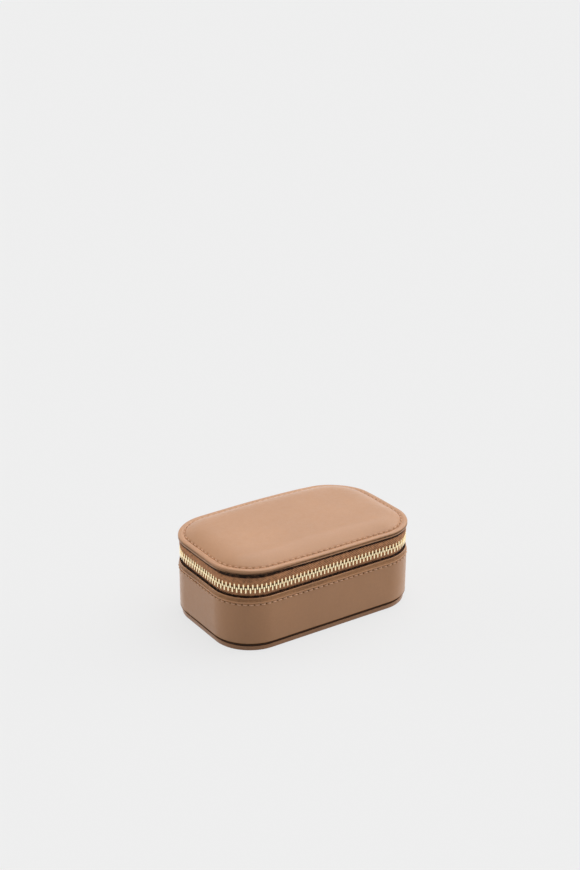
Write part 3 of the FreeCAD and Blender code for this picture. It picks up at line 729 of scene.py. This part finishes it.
def make_neck(name, body, tip, root, steps, *nodes):
    """A neck wrapped in lining, rounded at its tip and square at its root."""
    half = (LINING_IN - NECK_OUT) / 2
    way = math.copysign(1, tip - root)
    section = arc(NECK_OUT + half, tip - way * half, half, 0, way * 180, 14)
    section += line(section[-1], (LINING_IN, root), steps) + [(NECK_OUT, root)]
    neck = grid_object(name, loft(CASE, section, around(CASE, 1.0 * MM)), wrap_rows=True)
    finish_piece(neck, body, "lining", *nodes)


def make_base_inside():
    """The neck, wrapped in lining over its rounded top, and the lined floor."""
    make_neck("base_neck", "base", NECK_HIGH[2], NECK_FOOT, 24, "base_neck_board", "base_wall_lining")
    inset, edge = LINING_IN + 0.15 * MM, 0.4 * MM
    section = [(inset + 1.5 * MM, FLOOR - 0.55 * MM), (inset, FLOOR - 0.5 * MM)]
    section += arc(inset + edge, FLOOR - edge, edge, 0, 90, 5)
    section += line(section[-1], (15 * MM, FLOOR), 8)
    grid = loft(CASE, section, around(CASE, 1.0 * MM))
    grid = np.concatenate([grid, fill_in(grid[-1], 14)])
    x, y, z = np.moveaxis(grid, -1, 0)
    inner = smooth(8 * MM, 12 * MM, CASE.inset(x, y))
    sag = 0.12 * MM * inner * (1 + ripple(x, y, z, 14 * MM, 9))
    grid[..., 2] -= sag
    floor = grid_object("floor_lining_cloth", grid, weld=True)
    finish_piece(floor, "base", "lining", "floor_lining")


def rounded_block(low, high, radius, spacing):
    """Points and faces of a box with rounded edges, evenly gridded."""
    low, high = np.array(low), np.array(high)
    work = bmesh.new()
    bmesh.ops.create_cube(work, size=1.0)
    for axis in range(3):
        cuts = max(1, int(round((high - low)[axis] / spacing)))
        for number in range(1, cuts):
            place = [0.0, 0.0, 0.0]
            normal = [0.0, 0.0, 0.0]
            place[axis] = number / cuts - 0.5
            normal[axis] = 1.0
            geometry = work.verts[:] + work.edges[:] + work.faces[:]
            bmesh.ops.bisect_plane(work, geom=geometry, plane_co=place, plane_no=normal)
    work.verts.ensure_lookup_table()
    points = np.array([v.co for v in work.verts]) * (high - low) + (low + high) / 2
    faces = [tuple(v.index for v in f.verts) for f in work.faces]
    work.free()
    core = np.clip(points, low + radius, high - radius)
    away = points - core
    edge = np.abs(away).max(axis=1, keepdims=True)
    return core + away / lengths(away) * edge, faces


def keep_inside(points, inset):
    """Draws points that pass that inset back to it, so a cushion follows the case's rounded inside."""
    x, y = points[:, 0], points[:, 1]
    past_x = np.sign(x) * np.maximum(np.abs(x) - CASE.flat_x, 0)
    past_y = np.sign(y) * np.maximum(np.abs(y) - CASE.flat_y, 0)
    away = np.stack([past_x, past_y], -1)
    over = np.maximum(inset - CASE.inset(x, y), 0)
    points[:, :2] -= away / lengths(away) * over[:, None]
    return points


def swell(obj, limit):
    """Inflates a stuffed piece as cloth, moving no point past the limit."""
    start = points_of(obj)
    obj.data.transform(Matrix.Scale(CLOTH_SCALE, 4))
    settings = with_modifier(obj, "CLOTH").settings
    settings.use_pressure = True
    settings.uniform_pressure_force = 4.0
    settings.tension_stiffness = 25.0
    settings.compression_stiffness = 25.0
    settings.bending_stiffness = 1.5
    settings.effector_weights.gravity = 0.0
    settings.quality = 5
    for number in range(1, CLOTH_FRAMES + 1):
        bpy.context.scene.frame_set(number)
    apply_modifiers(obj)
    bpy.context.scene.frame_set(1)
    step = points_of(obj) / CLOTH_SCALE - start
    place_points(obj, start + step * np.minimum(1, limit / lengths(step)))


def make_rolls():
    """Ring rolls: suede-covered foam, softly swollen, with a seam along the top of each."""
    side, end, above = 0.35 * MM, 0.5 * MM, 0.5 * MM
    for number in range(1, 5):
        name = f"ring_roll_{number}"
        low, high = node_box(name)
        low = low + (side, end, 0.0)
        high = high - (side, end, above)
        points, faces = rounded_block(low, high, 3.6 * MM, 1.5 * MM)
        points = keep_inside(points, LINING_IN + 0.8 * MM)
        roll = make_object(f"{name}_cushion", points, faces)
        swell(roll, 0.3 * MM)
        points = points_of(roll)
        on_top = smooth(high[2] - 6 * MM, high[2] - 2 * MM, points[:, 2])
        seam = 0.35 * MM * on_top * bump_at(points[:, 0], (low[0] + high[0]) / 2, 0.7 * MM)
        points[:, 2] = np.maximum(points[:, 2] - seam, FLOOR)
        place_points(roll, points)
        subdivide(roll)
        finish_piece(roll, "base", "lining", name)


def make_dividers():
    """The padded walls across and along the tray, uneven on their sides."""
    for name, axis in (("cross_divider", 0), ("long_divider", 1)):
        low, high = node_box(name)
        low, high = low + 0.1 * MM, high - 0.1 * MM
        low[2] = FLOOR
        points, faces = rounded_block(low, high, 1.15 * MM, 1.2 * MM)
        height = points[:, 2]
        tall = smooth(low[2], low[2] + 4 * MM, height) * smooth(high[2], high[2] - 4 * MM, height)
        side = np.sign(points[:, axis] - (low[axis] + high[axis]) / 2)
        points[:, axis] += side * tall * 0.12 * MM * ripple(*points.T, 11 * MM, 5 + axis)
        divider = make_object(f"{name}_padded", points, faces)
        subdivide(divider)
        finish_piece(divider, "base", "lining", name)


# ---- the lid


def dome(inset):
    """Height of the padded top above the border."""
    share = np.clip((inset - LID_STITCH_INSET - 0.1 * MM) / DOME_RUN, 0, 1)
    return DOME_RISE * (1 - (1 - share) ** DOME_CURVE)


def lid_relief(grid, groove):
    """Height of the lid's leather above its border."""
    x, y, z = np.moveaxis(grid, -1, 0)
    inset = LID.inset(x, y)
    pulled_in = 0.45 * MM * groove * bump_at(inset, LID_STITCH_INSET + LID_OVER, 0.6 * MM)
    ridge = 0.14 * MM * bump_at(inset, 1.9 * MM, 0.6 * MM)
    waver = 0.14 * MM * smooth(4 * MM, 9 * MM, inset) * ripple(x, y, z, 22 * MM, 11)
    return dome(inset - LID_OVER) + ridge + waver - pulled_in


def lid_painted_light(grid, groove, is_top):
    """Painted shade in the stitches and on the turned edge, which faces away from the light, with a painted
    highlight line along its foot.
    """
    x, y, height = np.moveaxis(grid, -1, 0)
    inset = LID.inset(x, y)
    stitch_hole_shade = 0.9 * groove**3 * bump_at(inset, LID_STITCH_INSET + LID_OVER, 0.45 * MM) * is_top
    face = smooth(BORDER - 0.35 * MM, BORDER - 0.75 * MM, height) * smooth(1.0 * MM, 0.5 * MM, inset)
    painted_highlight_line = 2.6 * bump_at(height, LID_UNDER + 0.42 * MM, 0.18 * MM)
    return painted_highlight_line * face - 0.75 * face - stitch_hole_shade


def make_lid_cover():
    """The lid's leather: a turned edge over a slot for the tape, a stitched border and the padded dome."""
    low, turned, shoulder = LID_UNDER, 0.4 * MM, 0.9 * MM
    section = [(5.0 * MM, low + 0.1 * MM), (2.4 * MM, low + 0.15 * MM), (2.0 * MM, low + 0.8 * MM)]
    section += [(1.1 * MM, low + 0.8 * MM), (0.95 * MM, low + 0.2 * MM)]
    slot_rows = len(section) + 1
    section += arc(turned, low + turned, turned, -90, -10, 6)
    underneath = len(section)
    section += line(section[-1], (0.0, BORDER - shoulder), 3)
    section += arc(shoulder, BORDER - shoulder, shoulder, 8, 90, 9)
    section += line(section[-1], (7 * MM, BORDER), 26)
    section += line(section[-1], (14 * MM, BORDER), 14)
    along = around(LID, 0.5 * MM)
    grid = loft(LID, section, along)
    grid = np.concatenate([grid, fill_in(grid[-1], 22)])
    rows = np.arange(len(grid))[:, None]
    x, y = grid[..., 0], grid[..., 1]
    groove = pucker(LID, along, LID_STITCH_INSET + LID_OVER, LID_STITCH_PITCH)[None, :]
    grid[..., 2] += lid_relief(grid, groove) * (rows > underneath) + lid_lie(x, y)
    # Painted shade also darkens the rows in the slot under the lid.
    tone = lid_painted_light(grid, groove, rows > underneath) - 1.2 * (rows < slot_rows)
    cover = grid_object("lid_cover", grid, tone=tone, weld=True)
    finish_piece(cover, "lid", "cover_leather", "lid_cover_leather")


def make_lid_foam():
    """The foam under the leather, a little lower than the dome all over."""
    flat = (5.6 * MM, 0)
    section = [(5.5 * MM, 0.0), (5.2 * MM, 0.3 * MM), (5.6 * MM, 0.6 * MM)] + line(flat, (14 * MM, 0), 10)
    rim = loft(CASE, section, around(CASE, 1.2 * MM))
    under = fill_in(rim[0], 10)[::-1]
    grid = np.concatenate([under, rim, fill_in(rim[-1], 14)])
    on_top = np.arange(len(grid))[:, None] > len(under) + 1
    x, y = grid[..., 0], grid[..., 1]
    leather = BORDER + dome(CASE.inset(x, y)) + lid_lie(x, y)
    upper = np.maximum(leather - 1.2 * MM, LID_FOAM_LOW + 0.3 * MM)
    grid[..., 2] = np.where(on_top, upper, LID_FOAM_LOW)
    foam = grid_object("lid_foam", grid, weld=True)
    finish_piece(foam, "lid", "foam", "lid_foam_pad")


def make_lid_inside():
    """The lid's neck, wrapped in lining, and the padded frame round the mirror."""
    low, top = LID_NECK[0][2], LID_NECK[1][2] - 0.1 * MM
    make_neck("lid_neck", "lid", low, top, 8, "lid_neck_board", "lid_wall_lining")
    surround = softened("mirror_frame", "mirror_surround", 0.5 * MM)
    finish_piece(surround, "lid", "lining", "mirror_frame")


def softened(node, name, width):
    """A copy of a plain solid with its edges rounded."""
    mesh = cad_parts[node].data.copy()
    obj = bpy.data.objects.new(name, mesh)
    bpy.context.scene.collection.objects.link(obj)
    work = bmesh.new()
    work.from_mesh(mesh)
    bmesh.ops.remove_doubles(work, verts=work.verts, dist=SAME_PLACE)
    bmesh.ops.dissolve_limit(work, angle_limit=0.02, verts=work.verts, edges=work.edges)
    work.to_mesh(mesh)
    work.free()
    with_modifier(obj, "BEVEL", width=width, segments=3, limit_method="ANGLE", angle_limit=0.5)
    apply_modifiers(obj)
    shade_smooth(obj.data)
    return obj


# ---- the zip


def parted(along):
    """How far each row stands from the chain's middle: nothing up to the slider, and apart beyond it."""
    end_of_straight = ZIP.three_sides - ZIP.radius * math.pi / 2
    middle = end_of_straight - (ZIP.flat_y - SLIDER_MIDDLE)
    start = middle - SLIDER_LENGTH / 8
    return PARTING * np.clip((along - start) / (SLIDER_LENGTH / 4), 0, 1)


def make_tapes():
    """The two tapes: tucked in behind the wall's rim, bulging under the lid, and apart beyond the slider."""
    along = np.linspace(0, ZIP.three_sides, 560)
    for name, body, near, far in (
        ("upper_tape", "lid", CHAIN + 1.0 * MM, LID_UNDER + 0.7 * MM),
        ("lower_tape", "base", CHAIN - 1.0 * MM, LOWER_TAPE[0][2]),
    ):
        heights = np.linspace(near, far, 26)
        tuck = 0.75 * MM * bump_at(heights, RIM + 0.5 * MM, 1.2 * MM)
        share = np.clip((heights - CHAIN - 2.0 * MM) / (LID_UNDER - CHAIN - 2.5 * MM), 0, 1)
        bulge = 0.7 * MM * np.sin(math.pi * share)
        outside = list(zip(tuck - bulge - TAPE / 2, heights))
        grid = loft(ZIP, outside + [(inset + TAPE, height) for inset, height in outside[::-1]], along)
        height = grid[..., 2].copy()
        # Painted shade: the tape darkens under the lid's edge and behind the wall's rim.
        under_lid = smooth(LID_UNDER - 2.0 * MM, LID_UNDER - 1.5 * MM, height)
        behind_rim = smooth(RIM + 1.2 * MM, RIM + 0.5 * MM, height)
        tone = -0.55 * np.clip(under_lid + behind_rim, 0, 1)
        drawn = np.clip(1 - np.abs(height - near) / (4 * MM), 0, 1)
        grid[..., 2] += math.copysign(1, far - near) * parted(along)[None, :] * drawn
        tape = grid_object(f"{name}_cloth", grid, wrap_rows=True, wrap_columns=False, tone=tone, ends=True)
        finish_piece(tape, body, "tape", name)


def tooth_template():
    """One tooth, upright: a nose that meets the other row, a waist, and legs that clamp the tape."""
    right = (
        (0.26, -0.50), (0.44, -0.22), (0.46, 0.35), (0.40, 0.80), (0.44, 1.20), (0.44, 2.50), (0.28, 2.75),
    )
    outline = right + tuple((-x, y) for x, y in right[::-1])
    work = bmesh.new()
    face = work.faces.new([work.verts.new((x * MM, y * MM, -TOOTH_DEPTH / 2)) for x, y in outline])
    made = bmesh.ops.extrude_face_region(work, geom=[face])["geom"]
    moved = [item for item in made if isinstance(item, bmesh.types.BMVert)]
    bmesh.ops.translate(work, verts=moved, vec=(0, 0, TOOTH_DEPTH))
    rims = [e for e in work.edges if abs(e.verts[0].co.z - e.verts[1].co.z) < SAME_PLACE]
    bmesh.ops.bevel(work, geom=rims, offset=0.28 * MM, segments=3, affect="EDGES", profile=0.6)
    work.verts.ensure_lookup_table()
    points = np.array([v.co for v in work.verts])
    faces = [tuple(v.index for v in f.verts) for f in work.faces]
    work.free()
    return points, faces


def make_teeth():
    """Two rows of separate metal teeth, half a pitch apart."""
    points, faces = tooth_template()
    sideways, upright, outward = points[None, :, :1], points[None, :, 1], points[None, :, 2:]
    count = int((ZIP.three_sides - TOOTH_PITCH) / TOOTH_PITCH)
    margin = (ZIP.three_sides - count * TOOTH_PITCH) / 2
    for name, body, side, shift in (("upper_teeth", "lid", 1, 0.0), ("lower_teeth", "base", -1, 0.5)):
        along = margin + (np.arange(count) + 0.25 + shift) * TOOTH_PITCH
        places, normals = ZIP.sample(along)
        tangents = np.stack([-normals[:, 1], normals[:, 0]], -1)
        verts = np.zeros((count, len(points), 3))
        verts[..., :2] = places[:, None] + tangents[:, None] * sideways + normals[:, None] * outward
        verts[..., 2] = CHAIN + side * (upright + parted(along)[:, None])
        all_faces = [tuple(v + number * len(points) for v in f) for number in range(count) for f in faces]
        teeth = make_object(f"{name}_metal", verts.reshape(-1, 3), all_faces)
        finish_piece(teeth, body, "teeth", name)


def make_slider():
    """The slider, its bridge and its pull, with their edges rounded."""
    for node, name, body, width in (
        ("slider_body", "slider_case", "slider", 0.22 * MM),
        ("slider_bail", "slider_bridge", "slider", 0.2 * MM),
        ("pull_tab", "pull", "pull", 0.25 * MM),
    ):
        finish_piece(softened(node, name, width), body, "slider_metal", node)


def make_hinge():
    """The leather across the back, where the lid hinges on the wall, bulging a little between them."""
    half_width, half_thick = 40.4 * MM, 0.28 * MM
    middle_y = DEPTH / 2 - CHAIN_INSET
    low = LOWER_TAPE[0][2]
    x = np.linspace(-half_width, half_width, 110)
    high = LID_UNDER + 0.4 * MM + lid_lie(x, middle_y)
    shares = np.linspace(0, 1, 44)
    rows = []
    for side, steps in ((1, shares), (-1, shares[::-1])):
        for share in steps:
            height = low + (high - low) * share
            free = smooth(RIM - 0.5 * MM, RIM + 4 * MM, height)
            free = free * smooth(LID_UNDER, LID_UNDER - 4 * MM, height)
            bulge = 0.55 * MM * free + 0.12 * MM * free * ripple(x, 0, height, 9 * MM, 21)
            rows.append(np.stack([x, middle_y + side * half_thick + bulge, height], -1))
    grid = np.array(rows)
    tone = np.zeros(grid.shape[:2])
    hinge = grid_object("hinge_strip", grid, wrap_rows=True, wrap_columns=False, tone=tone, ends=True)
    finish_piece(hinge, None, "hinge_leather", "rear_hinge_leather")
    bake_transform(hinge)


# ---- the stitching

HALF_STITCH = 1.32 * MM
THREAD_RADIUS = 0.31 * MM
THREAD_RINGS = 9
THREAD_SIDES = 8
THREAD_STEP = 0.33 * MM
THREAD_WRAP = 3.141 * MM / THREAD_SIDES
LID_THREAD_SINK = 0.12 * MM
WALL_THREAD_SINK = 0.08 * MM


def stitch_faces(count):
    """Faces and texture coordinates of that many closed lengths of thread."""
    faces, uvs = [], []
    for stitch in range(count):
        first = stitch * THREAD_RINGS * THREAD_SIDES
        for i in range(THREAD_RINGS - 1):
            here = first + i * THREAD_SIDES
            low, high = i * THREAD_STEP, (i + 1) * THREAD_STEP
            for j in range(THREAD_SIDES):
                after = (j + 1) % THREAD_SIDES
                above = here + THREAD_SIDES
                faces.append((here + j, here + after, above + after, above + j))
                left, right = j * THREAD_WRAP, (j + 1) * THREAD_WRAP
                uvs += [(low, left), (low, right), (high, right), (high, left)]
        for end in (0, (THREAD_RINGS - 1) * THREAD_SIDES):
            faces.append(tuple(first + end + j for j in range(THREAD_SIDES)))
            uvs += [(0, j * THREAD_WRAP) for j in range(THREAD_SIDES)]
    return faces, uvs


def make_stitches(name, node, body, outline, line_inset, pitch, surface):
    """A row of waxed stitches. surface gives a point's place and its direction off the leather."""
    ring = around(outline, 0.2 * MM)
    points, normals = outline.sample(ring)
    length = running_length(np.concatenate([points - normals * line_inset] * 2)[: len(ring) + 1])
    count = round(length[-1] / pitch)
    share = np.linspace(-1, 1, THREAD_RINGS)
    wanted = (np.arange(count)[:, None] + 0.5) * length[-1] / count + share[None] * HALF_STITCH
    along = np.interp(np.mod(wanted, length[-1]), length, np.append(ring, outline.total))
    points, normals = outline.sample(along)
    centre, off = surface(points - normals * line_inset, normals)
    proud = (0.25 * (1 - share**2) - 0.24 * share**6) * MM
    slant = 0.10 * MM * share
    tangent = np.stack([-normals[..., 1], normals[..., 0], 0 * normals[..., 0]], -1)
    sideways = np.cross(tangent, off)
    centre = centre + off * proud[None, :, None] + sideways * slant[None, :, None]
    turns = np.linspace(0, 2 * math.pi, THREAD_SIDES, endpoint=False)[None, None, :, None]
    circle = off[:, :, None] * np.sin(turns) + sideways[:, :, None] * np.cos(turns)
    thick = THREAD_RADIUS * (1 - 0.35 * share**4)
    verts = centre[:, :, None] + circle * thick[None, :, None, None]
    faces, uvs = stitch_faces(count)
    stitches = make_object(name, verts.reshape(-1, 3), faces, uvs)
    finish_piece(stitches, body, "thread", node)


def on_lid(places, normals):
    """Points on the lid's border, where the way off the leather is up."""
    height = BORDER + lid_lie(places[..., 0], places[..., 1]) - LID_THREAD_SINK
    up = np.broadcast_to([0.0, 0.0, 1.0], (*normals.shape[:2], 3))
    return np.dstack([places, height]), up


def on_wall(places, normals):
    """Points on the wall's face, where the way off the leather is outwards."""
    height = np.full(places.shape[:2], WALL_STITCH_HEIGHT)
    return np.dstack([places - normals * WALL_THREAD_SINK, height]), np.dstack([normals, 0 * height])


def make_all_stitches():
    """The rows round the lid's border and under the wall's rim."""
    lid_inset = LID_STITCH_INSET + LID_OVER
    make_stitches("lid_thread", "lid_stitching", "lid", LID, lid_inset, LID_STITCH_PITCH, on_lid)
    make_stitches("wall_thread", "wall_stitching", "base", CASE, 0.0, WALL_STITCH_PITCH, on_wall)


# ---- what stays as it was built


def finish_frame_nodes():
    """The card, the glass and the hidden linings keep their solids and get their materials."""
    boards = ("sole_board", "wall_frame_board", "floor_board", "lid_board", "lid_rim_board")
    slots = {**dict.fromkeys(boards, "card"), "lid_ceiling_lining": "lining", "mirror": "mirror_glass"}
    for node, slot in slots.items():
        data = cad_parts[node].data
        data.materials.clear()
        data.materials.append(MATERIALS[slot])


# ---- floor, light and camera

# The floor: its tone to the camera, the part that shadows darken, what it returns, and its reflection.
FLOOR_TONE = 0.871
FLOOR_LIT = 0.14
FLOOR_RETURN = 0.55
FLOOR_SEEN = 1.04

# The sky: its light and its reflection, each from the dark side to the bright one, and more overhead.
BRIGHT_SIDE = (0.3, 0.4, 0.85)
SKY_LIGHT = (0.18, 0.38)
SKY_SEEN = (0.62, 1.0)
SKY_TOP = 0.4
SIDE_SPAN = (-0.3, 0.9)
TOP_SPAN = (0.55, 0.9)

OVERHEAD = 0.56
FROM_LEFT = 0.26
FROM_RIGHT = 0.17

DIRECT = ("Is Camera Ray", "Is Transmission Ray")
IN_MIRRORS = ("Is Glossy Ray",)

CAMERA_TURN = -33.6
CAMERA_RISE = 21.9
CAMERA_AWAY = 0.868
CAMERA_RIGHT = -0.00223
CAMERA_UP = 0.09895


def grey(tone):
    return (tone, tone, tone, 1)


def stage_material():
    """Pale floor: the camera sees it nearly even, with a faint shadow, and it throws less light back."""
    material = bpy.data.materials.new("stage")
    graph = Graph(material)
    graph.tree.nodes.clear()
    lit = graph.joined("BsdfDiffuse", grey(FLOOR_LIT))
    returned = graph.joined("BsdfDiffuse", grey(FLOOR_RETURN))
    glow = graph.joined("Emission", Strength=FLOOR_TONE - FLOOR_LIT)
    mirrored = graph.joined("Emission", Strength=FLOOR_SEEN)
    direct = graph.joined("AddShader", lit, glow)
    result = graph.by_ray(returned, (mirrored, IN_MIRRORS), (direct, DIRECT))
    graph.add("OutputMaterial", Surface=result)
    return material


def make_stage():
    """A floor that reaches past every view."""
    half = 30.0
    corners = [(-half, -half, 0), (half, -half, 0), (half, half, 0), (-half, half, 0)]
    floor = make_object("floor", corners, [(0, 1, 2, 3)])
    floor.data.materials.append(stage_material())


def make_world():
    """A pale surround, even to the camera, and brighter above and behind the case than in front of it."""
    world = bpy.data.worlds.new("surround")
    bpy.context.scene.world = world
    graph = Graph(world)
    light = graph.towards(BRIGHT_SIDE, SIDE_SPAN, SKY_LIGHT)
    side = graph.towards(BRIGHT_SIDE, SIDE_SPAN, SKY_SEEN)
    top = graph.towards((0, 0, 1), TOP_SPAN, (0.0, SKY_TOP))
    lit, mirrored, direct = (
        graph.joined("Background", grey(1), strength)
        for strength in (light, graph.math("ADD", side, top), FLOOR_TONE)
    )
    result = graph.by_ray(lit, (mirrored, IN_MIRRORS), (direct, DIRECT))
    graph.set(graph.tree.nodes["World Output"].inputs["Surface"], result)


def add_sun(name, direction, level, spread, mirrored):
    """A broad soft light from that direction."""
    lamp = bpy.data.lights.new(name, "SUN")
    lamp.energy = level * math.pi
    lamp.angle = math.radians(spread)
    obj = bpy.data.objects.new(name, lamp)
    obj.visible_glossy = mirrored
    obj.rotation_euler = Vector(direction).to_track_quat("Z", "Y").to_euler()
    bpy.context.scene.collection.objects.link(obj)


def make_lights():
    """Broad light from overhead, and weaker light from the back left and the right."""
    add_sun("overhead", (0.55, 0.05, 1.0), OVERHEAD, 80, True)
    add_sun("left", (-1.0, 1.1, 0.3), FROM_LEFT, 40, False)
    add_sun("right", (1.0, -0.25, 0.3), FROM_RIGHT, 40, False)


def make_camera():
    """A 60 mm view from the front left, looking down on the case."""
    turn, rise = math.radians(CAMERA_TURN), math.radians(CAMERA_RISE)
    right = Vector((math.cos(turn), math.sin(turn), 0))
    back = Vector((math.sin(turn) * math.cos(rise), -math.cos(turn) * math.cos(rise), math.sin(rise)))
    up = back.cross(right)
    data = bpy.data.cameras.new("camera")
    data.lens = 60
    data.sensor_width = 36
    data.clip_start = 0.01
    camera = bpy.data.objects.new("camera", data)
    rotation = Matrix((right, up, back)).transposed().to_4x4()
    place = back * CAMERA_AWAY + right * CAMERA_RIGHT + up * CAMERA_UP
    camera.matrix_world = Matrix.Translation(place) @ rotation
    bpy.context.scene.collection.objects.link(camera)
    bpy.context.scene.camera = camera


make_wall()
make_sole()
make_base_inside()
make_rolls()
make_dividers()
make_lid_cover()
make_lid_foam()
make_lid_inside()
make_tapes()
make_teeth()
make_slider()
make_hinge()
make_all_stitches()
finish_frame_nodes()
make_stage()
make_world()
make_lights()
make_camera()
bpy.context.scene.view_settings.view_transform = "Standard"
